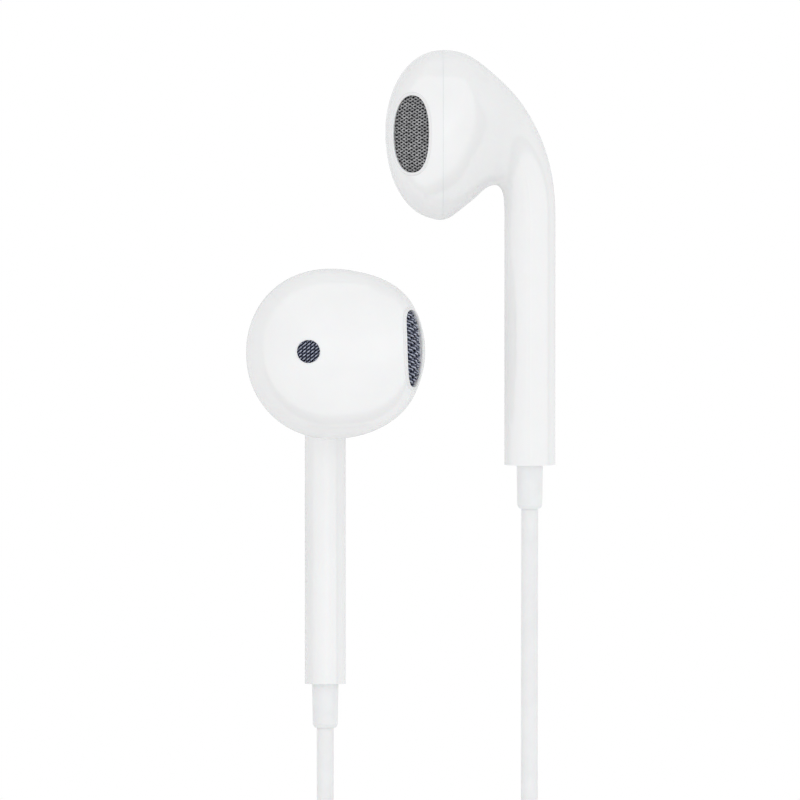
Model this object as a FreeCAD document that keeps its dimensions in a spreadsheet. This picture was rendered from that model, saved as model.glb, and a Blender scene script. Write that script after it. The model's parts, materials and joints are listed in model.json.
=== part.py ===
"""Wired earphones: two stemmed earbuds, a three-button remote, a Y splitter and a 3.5 mm plug.

The set lies on a table at Z = 0, with +Y from the cable towards the earbuds. The first bud lies on its
back with its face up; the second lies on its side with its nozzle up. Millimetres throughout.

Each bud has its own frame: x towards the nozzle, y up the stem from its lower end, z out of the face
that goes into the ear. Each small assembly (driver, remote, plug) has its own frame too.
"""

import FreeCAD
import Part
import Sketcher
import math
import os

from FreeCAD import Placement, Rotation, Vector

doc = FreeCAD.newDocument("earphones")
sheet = doc.addObject("Spreadsheet::Sheet", "Sheet")

DIMENSIONS = [
    # where each bud lies
    ("left_stem_x", -7.5), ("left_stem_y", -29.54), ("right_stem_x", 13.0), ("right_stem_y", -7.52),
    ("right_pitch", 4.0), ("floor_gap", 0.0),
    # head of a bud
    ("seam", 8.7), ("dome_depth", 5.74), ("head_centre", 0.6), ("head_left", 8.45), ("head_right", 9.4),
    ("head_low", 24.6), ("head_high", 41.56), ("tip_rise", 0.3),
    ("tip_slope", 0.1), ("tip_bow", 0.035), ("wall", 0.8), ("lip", 0.5), ("lip_fit", 0.05),
    # nozzle and face vent
    ("nozzle_x", 9.2), ("nozzle_y", 33.6), ("nozzle_z", 11.95), ("nozzle_half", 1.92), ("nozzle_tall", 3.85),
    ("nozzle_lean", 18.0), ("grille_thick", 0.3), ("grille_deep", 0.5), ("grille_seat", 0.35),
    ("vent_x", -1.6), ("vent_y", 33.3), ("vent_bore", 1.15), ("vent_seat", 1.5), ("vent_thick", 0.25),
    # stem
    ("stem_deep", 2.55), ("stem_wide", 2.05), ("stem_top", 25.2), ("cap_wall", 0.35), ("cap_thick", 1.2),
    ("relief_rad", 1.28), ("relief_long", 4.4), ("relief_neck", 0.98), ("relief_flange", 1.15),
    ("flange_thick", 0.6), ("crimp_rad", 1.1), ("crimp_long", 2.4),
    # driver, along its axis from the bud's z = 0
    ("driver_x", 0.6), ("driver_y", 33.3), ("frame_rad", 6.4), ("frame_lip", 5.8), ("frame_back", 6.4),
    ("frame_cone", 7.1), ("frame_top", 9.0), ("yoke_rad", 3.9), ("yoke_bore", 3.35), ("yoke_back", 5.0),
    ("yoke_floor", 5.7), ("yoke_top", 7.0), ("magnet_rad", 2.55), ("plate_rad", 2.7), ("plate_top", 7.5),
    ("coil_in", 2.85), ("coil_out", 3.2), ("coil_back", 6.2), ("coil_top", 8.6), ("film", 0.12),
    ("carrier_back", 7.3), ("carrier_top", 7.9),
    # cords
    ("branch_rad", 0.85), ("main_rad", 1.1), ("lead_rad", 0.28), ("table_rise", 0.02),
    # hank of wound cord and its two ties
    ("hank_x", -4.5), ("hank_y", -81.0), ("hank_half", 17.0), ("hank_in", 6.8), ("hank_out", 13.6),
    ("hank_low", 0.75), ("hank_high", 9.4), ("hank_round", 2.4), ("tie_wide", 7.0), ("tie_thick", 0.5),
    ("tie_gap", 0.15), ("tie_round", 2.6),
    # remote
    ("remote_x", 13.0), ("remote_y", -90.0), ("remote_half", 13.3), ("remote_rad", 2.7), ("remote_low", 0.05),
    ("remote_floor", 0.65), ("remote_split", 2.25), ("remote_roof", 3.45), ("remote_high", 4.05),
    ("remote_skin", 0.6), ("remote_cord", 2.25), ("button_rad", 1.35), ("button_half", 1.35),
    ("button_gap", 0.12),
    ("button_high", 4.3), ("button_low", 3.05), ("button_flange", 1.65), ("button_stop", 3.35),
    ("button_pitch", 6.4), ("board_low", 1.2), ("board_high", 1.7), ("switch_rad", 1.0), ("switch_high", 2.7),
    ("post_rad", 0.5), ("mic_rad", 0.8), ("mic_place", 10.6), ("bush_long", 3.2),
    ("bush_bore", 0.87),
    # splitter and slider
    ("splitter_x", -4.5), ("splitter_y", -85.0), ("splitter_half", 3.6), ("splitter_rad", 3.1),
    ("splitter_low", 0.05), ("splitter_high", 3.55), ("branch_gap", 1.3), ("cord_rise", 1.8),
    ("slider_y", -72.5), ("slider_half", 0.6), ("slider_rad", 3.0), ("slider_low", 0.15),
    ("slider_high", 3.45), ("slider_bore", 1.15),
    # plug, along its axis from the cord's entry
    ("plug_x", -22.6), ("plug_y", -86.0), ("plug_z", 3.15), ("tail_thin", 1.45), ("tail_thick", 2.3),
    ("tail_long", 8.0), ("grip_rad", 3.1), ("grip_end", 25.0), ("cord_deep", 8.4), ("cord_bore", 1.12),
    ("rod_rad", 0.55), ("core_rad", 1.1), ("contact_rad", 1.75), ("sleeve_long", 5.2), ("ring_long", 2.0),
    ("gap_long", 0.6), ("tip_long", 3.6), ("tip_neck", 1.2),
]

for row, (alias, value) in enumerate(DIMENSIONS, start=1):
    sheet.set("A%d" % row, alias)
    sheet.set("B%d" % row, str(value))
    sheet.setAlias("B%d" % row, alias)
doc.recompute()

parts = []


def size(alias):
    """The value of one cell of the sheet."""
    return float(sheet.get(alias))


def keep(piece, label):
    """Marks an object of the document as a finished sub-part."""
    piece.Label = label
    parts.append(piece)
    return piece


def plain(label, shape, place=Placement()):
    """A sub-part whose shape comes from Part's own functions."""
    piece = doc.addObject("Part::Feature", "shape_" + label)
    piece.Shape = shape.removeSplitter() if shape.Solids else shape
    piece.Placement = place
    return keep(piece, label)


def origin_plane(body, role):
    return next(f for f in body.Origin.OriginFeatures if f.Role == role)


def sketch_on(body, role, lift=None):
    """An empty sketch on one of the body's own planes, lifted by an expression if given."""
    sketch = body.newObject("Sketcher::SketchObject", body.Name + "_sketch")
    sketch.AttachmentSupport = [(origin_plane(body, role), "")]
    sketch.MapMode = "FlatFace"
    if lift:
        sketch.setExpression("AttachmentOffset.Base.z", lift)
    return sketch


def fix(sketch, constraint, expression):
    """Adds a dimension to a sketch and binds it to the sheet."""
    index = sketch.addConstraint(constraint)
    sketch.setExpression("Constraints[%d]" % index, expression)


def turned(label, outline, place=Placement()):
    """A revolved body. outline is its closed half section, as (radius, height) pairs of expressions."""
    body = doc.addObject("PartDesign::Body", "body_" + label)
    sketch = sketch_on(body, "XZ_Plane")
    values = [(evaluate(r), evaluate(h)) for r, h in outline]
    count = len(values)
    for i, (r, h) in enumerate(values):
        following = values[(i + 1) % count]
        sketch.addGeometry(Part.LineSegment(Vector(r, h, 0), Vector(following[0], following[1], 0)))
    for i in range(count):
        sketch.addConstraint(Sketcher.Constraint("Coincident", i, 2, (i + 1) % count, 1))
    for i, (radius, height) in enumerate(outline):
        if radius == "0":
            sketch.addConstraint(Sketcher.Constraint("PointOnObject", i, 1, -2))
        else:
            fix(sketch, Sketcher.Constraint("DistanceX", -1, 1, i, 1, values[i][0]), radius)
        if height == "0":
            sketch.addConstraint(Sketcher.Constraint("PointOnObject", i, 1, -1))
        else:
            fix(sketch, Sketcher.Constraint("DistanceY", -1, 1, i, 1, values[i][1]), height)
    solid = body.newObject("PartDesign::Revolution", body.Name + "_revolution")
    solid.Profile = sketch
    solid.ReferenceAxis = (sketch, ["V_Axis"])
    solid.Angle = 360
    body.Placement = place
    return keep(body, label)


def ring(label, outer, inner, back, front, place=Placement()):
    """A padded disc or ring between two heights, all given as expressions. inner is "0" for a disc."""
    body = doc.addObject("PartDesign::Body", "body_" + label)
    sketch = sketch_on(body, "XY_Plane", back)
    for radius in (outer, inner):
        if radius != "0":
            index = sketch.addGeometry(Part.Circle(Vector(0, 0, 0), Vector(0, 0, 1), evaluate(radius)))
            sketch.addConstraint(Sketcher.Constraint("Coincident", index, 3, -1, 1))
            fix(sketch, Sketcher.Constraint("Radius", index, evaluate(radius)), radius)
    pad = body.newObject("PartDesign::Pad", body.Name + "_pad")
    pad.Profile = sketch
    pad.setExpression("Length", "(%s) - (%s)" % (front, back))
    body.Placement = place
    return keep(body, label)


def evaluate(expression):
    """The number that an expression over the sheet stands for."""
    value = sheet.evalExpression(expression)
    return float(getattr(value, "Value", value))


# ---- bud shells ---------------------------------------------------------------------------------

SECTION_POINTS = 24
FACE_POWER = 2.12       # squareness of the face dome
TIP_POWER = 16          # the nozzle side stays out nearly to the face, then rounds over
SIDE_POWERS = (2.12, 2.03)      # squareness of the head's outline, upper and lower
NOZZLE_POWERS = (2.08, 2.8)     # squareness of its nozzle side, at the seam and at the nozzle
FACE_STEPS = (85.5, 80.0, 72.0, 62.0, 50.0, 38.0, 26.0, 13.0)
# The back of the head, from the seam to the stem: the inner and outer point of each section in the
# plane x = 0, as (z, y), then its half widths to the left and right, and its upper squareness.
BACK_SECTIONS = [
    ((6.9, 25.65), (6.3, 41.1), 7.75, 8.75, 2.2),
    ((5.6, 26.7), (4.0, 39.5), 6.7, 7.4, 2.15),
    ((4.6, 27.6), (1.85, 37.45), 5.25, 5.6, 2.1),
    ((3.8, 28.0), (0.1, 35.1), 3.85, 3.95, 2.05),
    ((3.2, 27.95), (-1.2, 32.5), 2.9, 2.9, 2.0),
    ((2.8, 27.45), (-1.97, 30.1), 2.35, 2.35, 2.0),
    ((2.6, 26.5), (-2.42, 27.4), 2.1, 2.1, 2.0),
]


def closed_curve(centre, across, along, left, right, half, powers, nozzle_power, rise):
    """Points round an egg: a superellipse whose sides differ, in the plane of two unit vectors."""
    points = []
    for i in range(SECTION_POINTS):
        angle = 2 * math.pi * i / SECTION_POINTS
        c, s = math.cos(angle), math.sin(angle)
        square = nozzle_power if c > 0 else powers[0] if s > 0 else powers[1]
        x = math.copysign(abs(c) ** (2 / square), c) * (right if c > 0 else left)
        y = math.copysign(abs(s) ** (2 / square), s) * half
        if x > 0:
            y += rise * (x / right) ** 2
        points.append(centre + across * x + along * y)
    return points


def smooth(points):
    """A closed smooth curve through points."""
    count = len(points)
    curve = Part.BSplineCurve()
    curve.interpolate(Points=points, PeriodicFlag=True, Parameters=[i / count for i in range(count + 1)])
    return curve


def skin(sections):
    """A solid with a smooth side through closed sections, and flat ends."""
    curves = [smooth(points) for points in sections]
    rows = [curve.getPoles() for curve in curves]
    steps = [0.0]
    for a, b in zip(sections, sections[1:]):
        steps.append(steps[-1] + sum((p - q).Length for p, q in zip(a, b)) / len(a))
    steps = [step / steps[-1] for step in steps]
    columns = []
    for column in zip(*rows):
        line = Part.BSplineCurve()
        line.interpolate(Points=list(column), Parameters=steps)
        columns.append(line)
    first, other = curves[0], columns[0]
    surface = Part.BSplineSurface()
    surface.buildFromPolesMultsKnots(
        [line.getPoles() for line in columns], first.getMultiplicities(), other.getMultiplicities(),
        first.getKnots(), other.getKnots(), True, False, first.Degree, other.Degree)
    side = surface.toShape()
    ends = [Part.Face(Part.Wire([edge])) for edge in side.Edges if edge.isClosed()]
    shell = Part.makeShell([side] + ends)
    shell.sewShape()
    shell.fix(1e-5, 1e-5, 1e-4)
    solid = Part.Solid(shell)
    if solid.Volume < 0:
        solid.reverse()
    return solid


def head_sections(inset, foot):
    """Sections of the head from the face's apex to the stem, each moved inwards by inset."""
    seam, depth = size("seam"), size("dome_depth") - inset
    low, high = size("head_low") + inset, size("head_high") - inset
    left, right = size("head_left") - inset, size("head_right") - inset
    middle, half = (low + high) / 2, (high - low) / 2
    across, up = Vector(1, 0, 0), Vector(0, 1, 0)
    sections = []
    for step in FACE_STEPS:
        angle = math.radians(step)
        shrink = math.cos(angle) ** (2 / FACE_POWER)
        share = math.sin(angle) ** (2 / FACE_POWER)
        slide = (step / FACE_STEPS[0]) ** 4
        centre = Vector(
            size("head_centre") * (1 - slide) + size("vent_x") * slide,
            middle * (1 - slide) + size("vent_y") * slide, seam + depth * share)
        rise = depth * share
        tip = (right + size("head_centre") - size("tip_slope") * rise - size("tip_bow") * rise ** 2) * (
            1 - share ** TIP_POWER) ** (1 / 2.2) - centre.x
        flat = NOZZLE_POWERS[0] + (NOZZLE_POWERS[1] - NOZZLE_POWERS[0]) * min(share / 0.5, 1) * (1 - slide)
        sections.append(closed_curve(
            centre, across, up, left * shrink, max(tip, left * shrink), half * shrink, SIDE_POWERS, flat,
            size("tip_rise") * shrink))
    sections.append(closed_curve(
        Vector(size("head_centre"), middle, seam), across, up, left, right, half, SIDE_POWERS,
        NOZZLE_POWERS[0], size("tip_rise")))
    for number, (inner, outer, wide_left, wide_right, power) in enumerate(BACK_SECTIONS):
        near, far = Vector(0, inner[1], inner[0]), Vector(0, outer[1], outer[0])
        along = (far - near).normalize()
        fade = 1 - (number + 1) / len(BACK_SECTIONS)
        centre = (near + far) / 2 + across * size("head_centre") * fade
        sections.append(closed_curve(
            centre, across, along, wide_left - inset, wide_right - inset, (far - near).Length / 2 - inset,
            (power, 2.0), 2.0 + 0.3 * fade, size("tip_rise") * fade))
    top = size("stem_top")
    for share in (1.0, 0.95, 0.87, 0.75, 0.6, 0.45, 0.3, 0.15, 0.0):
        sections.append(stem_wire(foot + (top - foot) * share, inset))
    return sections


def stem_wire(height, inset):
    """The stem's oval section at a height, turned to match the head's sections."""
    return closed_curve(
        Vector(0, height, 0), Vector(1, 0, 0), Vector(0, 0, -1), size("stem_wide") - inset,
        size("stem_wide") - inset, size("stem_deep") - inset, (2.0, 2.0), 2.0, 0.0)


def head_solid(inset, foot=2.0):
    """The whole bud, head and stem, with every section moved inwards by inset and the stem's end at foot."""
    return skin(head_sections(inset, foot))


def half_space(low, high):
    """A block that spans a bud sideways, between two heights on its z axis."""
    wide = 60.0
    return Part.makeBox(wide, 2 * wide, high - low, Vector(-wide / 2, -wide / 2, low))


def oval_bar(half_wide, half_tall, start, end):
    """A bar with the nozzle's oval section, along the nozzle's axis and centred on it."""
    lean = math.radians(size("nozzle_lean"))
    out = Vector(math.cos(lean), 0, math.sin(lean))
    across = Vector(-math.sin(lean), 0, math.cos(lean))
    middle = Vector(size("nozzle_x"), size("nozzle_y"), size("nozzle_z"))
    oval = smooth(closed_curve(
        middle + out * start, across, Vector(0, 1, 0), half_wide, half_wide, half_tall, (2.3, 2.3), 2.3, 0))
    return Part.Face(Part.Wire([oval.toShape()])).extrude(out * (end - start))


def upright(radius, low, high, x, y):
    return Part.makeCylinder(radius, high - low, Vector(x, y, low), Vector(0, 0, 1))


def face_height(x, y, solid):
    """Where a line along z through (x, y) leaves the face of a solid."""
    line = Part.makeLine(Vector(x, y, size("seam")), Vector(x, y, 30))
    return max(v.Z for v in line.common(solid).Vertexes)


def make_shells():
    """Front shell, rear shell with stem, nozzle grille, vent mesh and stem cap in the bud's frame."""
    outer, cavity = head_solid(0.0, 0.0), head_solid(size("wall"), size("cap_thick"))
    seam = size("seam")
    cap_hole = [stem_wire(level, size("cap_wall")) for level in (size("cap_thick"), 0.6, 0.0, -0.6)]
    front = outer.common(half_space(seam, 30)).cut(cavity)
    thick, deep, seat = size("grille_thick"), size("grille_deep"), size("grille_seat")
    half, tall = size("nozzle_half"), size("nozzle_tall")
    front = front.cut(oval_bar(half, tall, -3.2, 3))
    front = front.cut(oval_bar(half + seat, tall + seat, -4.2, 1).common(head_solid(deep)))
    grille = oval_bar(half + seat - 0.02, tall + seat - 0.02, -4.2, 1).common(head_solid(deep + 0.01))
    grille = grille.cut(head_solid(deep + thick))
    x, y = size("vent_x"), size("vent_y")
    face, inner_face = face_height(x, y, outer), face_height(x, y, cavity)
    front = front.cut(upright(size("vent_bore"), inner_face - 1, face + 1, x, y))
    vent_top = face - 0.4
    front = front.cut(upright(size("vent_seat"), inner_face - 1, vent_top, x, y))
    vent = upright(size("vent_seat") - 0.02, vent_top - size("vent_thick"), vent_top - 0.01, x, y)

    rear = outer.common(half_space(-30, seam)).cut(cavity).cut(skin(cap_hole))
    lip_outer = head_solid(size("wall") + size("lip_fit")).common(half_space(seam - 0.8, seam + 0.8))
    lip_inner = head_solid(size("wall") + size("lip")).common(half_space(seam - 2, seam + 2))
    lip_root = outer.common(half_space(seam - 0.8, seam)).cut(lip_inner)
    rear = rear.fuse(lip_root).fuse(lip_outer.cut(lip_inner))
    cap_levels = (size("cap_thick") - 0.02, 0.8, 0.4, 0.05)
    cap = skin([stem_wire(level, size("cap_wall") + 0.02) for level in cap_levels])
    cap = cap.cut(Part.makeCylinder(size("relief_neck"), 6, Vector(0, -2, 0), Vector(0, 1, 0)))
    return {
        "front_shell": front, "rear_shell": rear, "nozzle_grille": grille, "vent_mesh": vent, "stem_cap": cap}


# ---- cords --------------------------------------------------------------------------------------


def route_wire(points):
    """Straight runs joined by tangent arcs as large as the runs allow; prints each arc's radius."""
    points = [Vector(*p) for p in points]
    edges, start, radii = [], points[0], []
    for before, corner, after in zip(points, points[1:], points[2:]):
        a, b = (before - corner), (after - corner)
        turn = math.pi - a.getAngle(b)
        reach = 0.45 * min(a.Length, b.Length)
        radii.append(reach / math.tan(turn / 2))
        enter, leave = corner + a.normalize() * reach, corner + b.normalize() * reach
        middle = corner + (a + b).normalize() * arc_depth(reach, turn)
        edges.append(Part.makeLine(start, enter))
        edges.append(Part.Arc(enter, middle, leave).toShape())
        start = leave
    edges.append(Part.makeLine(start, points[-1]))
    return Part.Wire(edges), radii


def arc_depth(reach, turn):
    """How far inside its corner the middle of a tangent arc lies."""
    radius = reach / math.tan(turn / 2)
    return radius / math.cos(turn / 2) - radius


def tube(label, points, radius, place=Placement()):
    """A cord's tube along its route, with its volume compared with section times length."""
    wire, radii = route_wire(points)
    start = Vector(*points[0])
    circle = Part.Wire([Part.makeCircle(radius, start, Vector(*points[1]) - start)])
    shape = wire.makePipeShell([circle], True, False)
    expected = math.pi * radius ** 2 * wire.Length
    print("%s: %.1f mm, radii from %.1f, volume %.3f of expected" % (
        label, wire.Length, min(radii) if radii else 0, shape.Volume / expected))
    if not 0.99 < shape.Volume / expected < 1.01:
        raise RuntimeError(label + " has the wrong volume")
    return plain(label, shape, place)


def stadium(sketch, x, y, radius, half):
    """Adds a stadium to a sketch: its two round ends are half above and below (x, y). All expressions."""
    cx, cy, r, h = (evaluate(e) for e in (x, y, radius, half))
    up, low = Vector(cx, cy + h, 0), Vector(cx, cy - h, 0)
    normal = Vector(0, 0, 1)
    top = sketch.addGeometry(Part.ArcOfCircle(Part.Circle(up, normal, r), 0, math.pi))
    bottom = sketch.addGeometry(Part.ArcOfCircle(Part.Circle(low, normal, r), math.pi, 2 * math.pi))
    left = sketch.addGeometry(Part.LineSegment(up - Vector(r, 0, 0), low - Vector(r, 0, 0)))
    right = sketch.addGeometry(Part.LineSegment(low + Vector(r, 0, 0), up + Vector(r, 0, 0)))
    joins = ((top, 2, left, 1), (left, 2, bottom, 1), (bottom, 2, right, 1), (right, 2, top, 1))
    for a, a_end, b, b_end in joins:
        sketch.addConstraint(Sketcher.Constraint("Tangent", a, a_end, b, b_end))
    sketch.addConstraint(Sketcher.Constraint("Vertical", left))
    sketch.addConstraint(Sketcher.Constraint("Vertical", right))
    fix(sketch, Sketcher.Constraint("Radius", top, r), radius)
    fix(sketch, Sketcher.Constraint("DistanceY", bottom, 3, top, 3, 2 * h), "2 * (%s)" % half)
    if x == "0":
        sketch.addConstraint(Sketcher.Constraint("PointOnObject", top, 3, -2))
    else:
        fix(sketch, Sketcher.Constraint("DistanceX", -1, 1, top, 3, cx), x)
    fix(sketch, Sketcher.Constraint("DistanceY", -1, 1, top, 3, cy + h), "(%s) + (%s)" % (y, half))


def layers(label, levels, place=Placement(), finished=True):
    """A body of pads on one another. Each level is (low, high, outlines), an outline being a stadium's
    (x, y, radius, half) in expressions; the first outline is filled and the others are holes in it."""
    body = doc.addObject("PartDesign::Body", "body_" + label)
    for low, high, outlines in levels:
        sketch = sketch_on(body, "XY_Plane", low)
        for outline in outlines:
            stadium(sketch, *outline)
        pad = body.newObject("PartDesign::Pad", body.Name + "_pad")
        pad.Profile = sketch
        pad.setExpression("Length", "(%s) - (%s)" % (high, low))
        if len(levels) > 1:
            doc.recompute()
    body.Placement = place
    return keep(body, label) if finished else body


def drilled(label, body, holes):
    """A body with round holes along Y cut through it: each is (x, start, length, z, radius), expressions."""
    cylinders = []
    for number, (x, start, length, z, radius) in enumerate(holes):
        tool = doc.addObject("Part::Cylinder", "drill_%s_%d" % (label, number))
        tool.setExpression("Radius", radius)
        tool.setExpression("Height", length)
        tool.setExpression("Placement.Base.x", x)
        tool.setExpression("Placement.Base.y", start)
        tool.setExpression("Placement.Base.z", z)
        tool.Placement = Placement(tool.Placement.Base, Rotation(Vector(1, 0, 0), -90))
        cylinders.append(tool)
    tools = doc.addObject("Part::Compound", "drills_" + label)
    tools.Links = cylinders
    result = doc.addObject("Part::Cut", "cut_" + label)
    result.Base = body
    result.Tool = tools
    return keep(result, label)


# ---- buds ---------------------------------------------------------------------------------------

ALONG_Y = Rotation(Vector(1, 0, 0), -90)
shells = make_shells()


def make_bud(side, place):
    """Everything in one earbud, moved from the bud's own frame by place."""
    for name, shape in shells.items():
        plain(name + "_" + side, shape, place)
    driver = place * Placement(Vector(size("driver_x"), size("driver_y"), 0), Rotation())
    turned("driver_frame_" + side, [
        ("Sheet.yoke_rad", "Sheet.frame_back"), ("Sheet.yoke_rad + 0.6", "Sheet.frame_back"),
        ("Sheet.frame_rad", "Sheet.frame_cone"), ("Sheet.frame_rad", "Sheet.frame_top"),
        ("Sheet.frame_lip", "Sheet.frame_top"), ("Sheet.frame_lip", "Sheet.frame_cone + 0.6"),
        ("Sheet.yoke_rad", "Sheet.yoke_top")], driver)
    turned("yoke_" + side, [
        ("0", "Sheet.yoke_back"), ("Sheet.yoke_rad", "Sheet.yoke_back"), ("Sheet.yoke_rad", "Sheet.yoke_top"),
        ("Sheet.yoke_bore", "Sheet.yoke_top"), ("Sheet.yoke_bore", "Sheet.yoke_floor"),
        ("0", "Sheet.yoke_floor")], driver)
    ring("magnet_" + side, "Sheet.magnet_rad", "0", "Sheet.yoke_floor", "Sheet.yoke_top", driver)
    ring("pole_plate_" + side, "Sheet.plate_rad", "0", "Sheet.yoke_top", "Sheet.plate_top", driver)
    ring("voice_coil_" + side, "Sheet.coil_out", "Sheet.coil_in", "Sheet.coil_back", "Sheet.coil_top", driver)
    under = [
        ("0", "Sheet.frame_top + 0.2"), ("Sheet.coil_in * 0.5", "Sheet.frame_top + 0.05"),
        ("Sheet.coil_in", "Sheet.coil_top"), ("Sheet.coil_out", "Sheet.coil_top"),
        ("Sheet.frame_lip * 0.78", "Sheet.frame_top + 0.2"), ("Sheet.frame_lip", "Sheet.frame_top"),
        ("Sheet.frame_rad", "Sheet.frame_top")]
    over = [(radius, height + " + Sheet.film") for radius, height in reversed(under)]
    turned("diaphragm_" + side, under + over, driver)
    cavity = head_solid(size("wall"))
    carrier = cavity.common(half_space(size("carrier_back"), size("carrier_top"))).cut(
        upright(size("frame_rad"), 0, 20, size("driver_x"), size("driver_y")))
    plain("driver_carrier_" + side, carrier, place)
    turned("strain_relief_" + side, [
        ("Sheet.bush_bore", "-Sheet.relief_long"), ("Sheet.relief_rad - 0.22", "-Sheet.relief_long"),
        ("Sheet.relief_rad - 0.02", "-Sheet.relief_long + 0.35"), ("Sheet.relief_rad + 0.04", "0.05"),
        ("Sheet.relief_neck", "0.05"), ("Sheet.relief_neck", "Sheet.cap_thick"),
        ("Sheet.relief_flange", "Sheet.cap_thick"),
        ("Sheet.relief_flange", "Sheet.cap_thick + Sheet.flange_thick"),
        ("Sheet.bush_bore", "Sheet.cap_thick + Sheet.flange_thick")], place * Placement(Vector(), ALONG_Y))
    crimp = size("cap_thick") + size("flange_thick")
    ring("crimp_" + side, "Sheet.crimp_rad", "0", "Sheet.cap_thick + Sheet.flange_thick",
         "Sheet.cap_thick + Sheet.flange_thick + Sheet.crimp_long", place * Placement(Vector(), ALONG_Y))
    top = crimp + size("crimp_long")
    tube("lead_" + side, [
        (0, top, 0), (0, top + 11, 0.05), (0, 25.6, -0.05), (0, 29.8, 1.1), (0, 31.6, size("yoke_back"))
    ], size("lead_rad"), place)


left_turn = Rotation()
right_turn = Rotation(Vector(1, 0, 0), size("right_pitch")) * Rotation(Vector(0, 1, 0), -90)


def resting(x, y, turn):
    """Where a bud with this turn stands on the table."""
    lying = shells["rear_shell"].copy().fuse(shells["front_shell"])
    lying.Placement = Placement(Vector(), turn)
    lowest = lying.optimalBoundingBox(False).ZMin
    return Placement(Vector(x, y, size("floor_gap") - lowest), turn)


left_place = resting(size("left_stem_x"), size("left_stem_y"), left_turn)
right_place = resting(size("right_stem_x"), size("right_stem_y"), right_turn)
make_bud("left", left_place)
make_bud("right", right_place)

# ---- hank and ties ------------------------------------------------------------------------------

hank_place = Placement(Vector(size("hank_x"), size("hank_y"), 0), Rotation())
hank = layers("cord_hank", [("Sheet.hank_low", "Sheet.hank_high", [
    ("0", "0", "Sheet.hank_out", "Sheet.hank_half"),
    ("0", "0", "Sheet.hank_in", "Sheet.hank_half")])], hank_place)
doc.recompute()
rounding = hank.newObject("PartDesign::Fillet", "hank_rounding")
rounding.Base = (hank.Tip if hank.Tip != rounding else hank.Group[1], [""])
rounding.UseAllEdges = True
rounding.setExpression("Radius", "Sheet.hank_round")
doc.recompute()


def tie(label, sign):
    """A strap round one run of the hank."""
    middle = size("hank_x") + sign * (size("hank_in") + size("hank_out")) / 2
    wide = size("hank_out") - size("hank_in") + 2 * size("tie_gap")
    tall = size("hank_high") - size("hank_low") + 2 * size("tie_gap")
    long, thick = size("tie_wide"), size("tie_thick")
    low = size("hank_low") - size("tie_gap")
    solids = []
    for grow in (thick, 0):
        corner = Vector(middle - wide / 2 - grow, size("hank_y") - long / 2, low - grow)
        box = Part.makeBox(wide + 2 * grow, long, tall + 2 * grow, corner)
        sides = [e for e in box.Edges if abs(e.tangentAt(e.FirstParameter).y) > 0.9]
        solids.append(box.makeFillet(size("tie_round") - thick + grow, sides))
    plain(label, solids[0].cut(solids[1]))


tie("tie_left", -1)
tie("tie_right", 1)

# ---- branch cords from the buds -----------------------------------------------------------------


def cord(label, points, radius):
    """A cord's tube, ended face to face with the hank where it goes into it."""
    piece = tube(label, points, radius)
    piece.Shape = piece.Shape.cut(hank.Shape)
    if len(piece.Shape.Solids) > 1:
        start = Vector(*points[0])
        piece.Shape = min(piece.Shape.Solids, key=lambda s: s.distToShape(Part.Vertex(start))[0])


floor_z = size("branch_rad") + size("table_rise")
entry = size("cap_thick") + size("flange_thick")
start = left_place.multVec(Vector(0, entry - 3.6, 0))
leave = left_place.multVec(Vector(0, -size("relief_long") - 4.3, 0))
x, y = leave.x, leave.y
cord("cord_left", [
    tuple(start), (x, y, leave.z), (x, y - 6.5, floor_z), (x, y - 12.5, floor_z + 0.1),
    (x, size("hank_y") + 26.5, 2.6)
], size("branch_rad"))
start = right_place.multVec(Vector(0, entry, 0))
leave = right_place.multVec(Vector(0, -size("relief_long") - 2.5, 0))
x, y = leave.x, leave.y
remote_top = size("remote_y") + size("remote_half") + size("remote_rad")
bush = size("bush_long")
cord("cord_right_upper", [
    tuple(start), tuple(leave), (x, y - 14, floor_z), (x, y - 28, floor_z + 0.1), (x, y - 41, floor_z),
    (x, remote_top + 5, size("remote_cord") - 0.1), (x, remote_top - bush, size("remote_cord"))
], size("branch_rad"))
remote_end = 2 * size("remote_y") - remote_top
cord("cord_right_lower", [
    (x, remote_end + bush, size("remote_cord")), (x, remote_end - 1.5, size("remote_cord")),
    (x - 2.0, remote_end - 8.0, 1.5), (x - 10, remote_end - 9.5, 1.8), (x - 18, remote_end - 4.0, 3.5)
], size("branch_rad"))

# ---- remote -------------------------------------------------------------------------------------

CENTRE = ("0", "0")
remote_place = Placement(Vector(size("remote_x"), size("remote_y"), 0), Rotation())
outer = CENTRE + ("Sheet.remote_rad", "Sheet.remote_half")
inner = CENTRE + ("Sheet.remote_rad - Sheet.remote_skin", "Sheet.remote_half")
BUTTONS = (("up", "Sheet.button_pitch"), ("middle", "0"), ("down", "-Sheet.button_pitch"))
openings = [("0", y, "Sheet.button_rad", "Sheet.button_half") for _, y in BUTTONS]
bores = []
BORE_STARTS = (
    "-Sheet.remote_half - Sheet.remote_rad - 1", "Sheet.remote_half + Sheet.remote_rad - Sheet.bush_long")
for start_y in BORE_STARTS:
    bores.append((
        "Sheet.remote_x", "Sheet.remote_y + (%s)" % start_y, "Sheet.bush_long + 1", "Sheet.remote_cord",
        "Sheet.bush_bore"))
back = layers("remote_back_blank", [
    ("Sheet.remote_low", "Sheet.remote_floor", [outer]),
    ("Sheet.remote_floor", "Sheet.remote_split", [outer, inner])], remote_place, False)
drilled("remote_back", back, bores)
front = layers("remote_front_blank", [
    ("Sheet.remote_split", "Sheet.remote_roof", [outer, inner]),
    ("Sheet.remote_roof", "Sheet.remote_high", [outer] + openings)], remote_place, False)
drilled("remote_front", front, bores)
ledge = "Sheet.remote_rad - Sheet.remote_skin"
layers("remote_board", [("Sheet.board_low", "Sheet.board_high", [
    CENTRE + (ledge, "Sheet.remote_half - Sheet.bush_long")])], remote_place)
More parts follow.
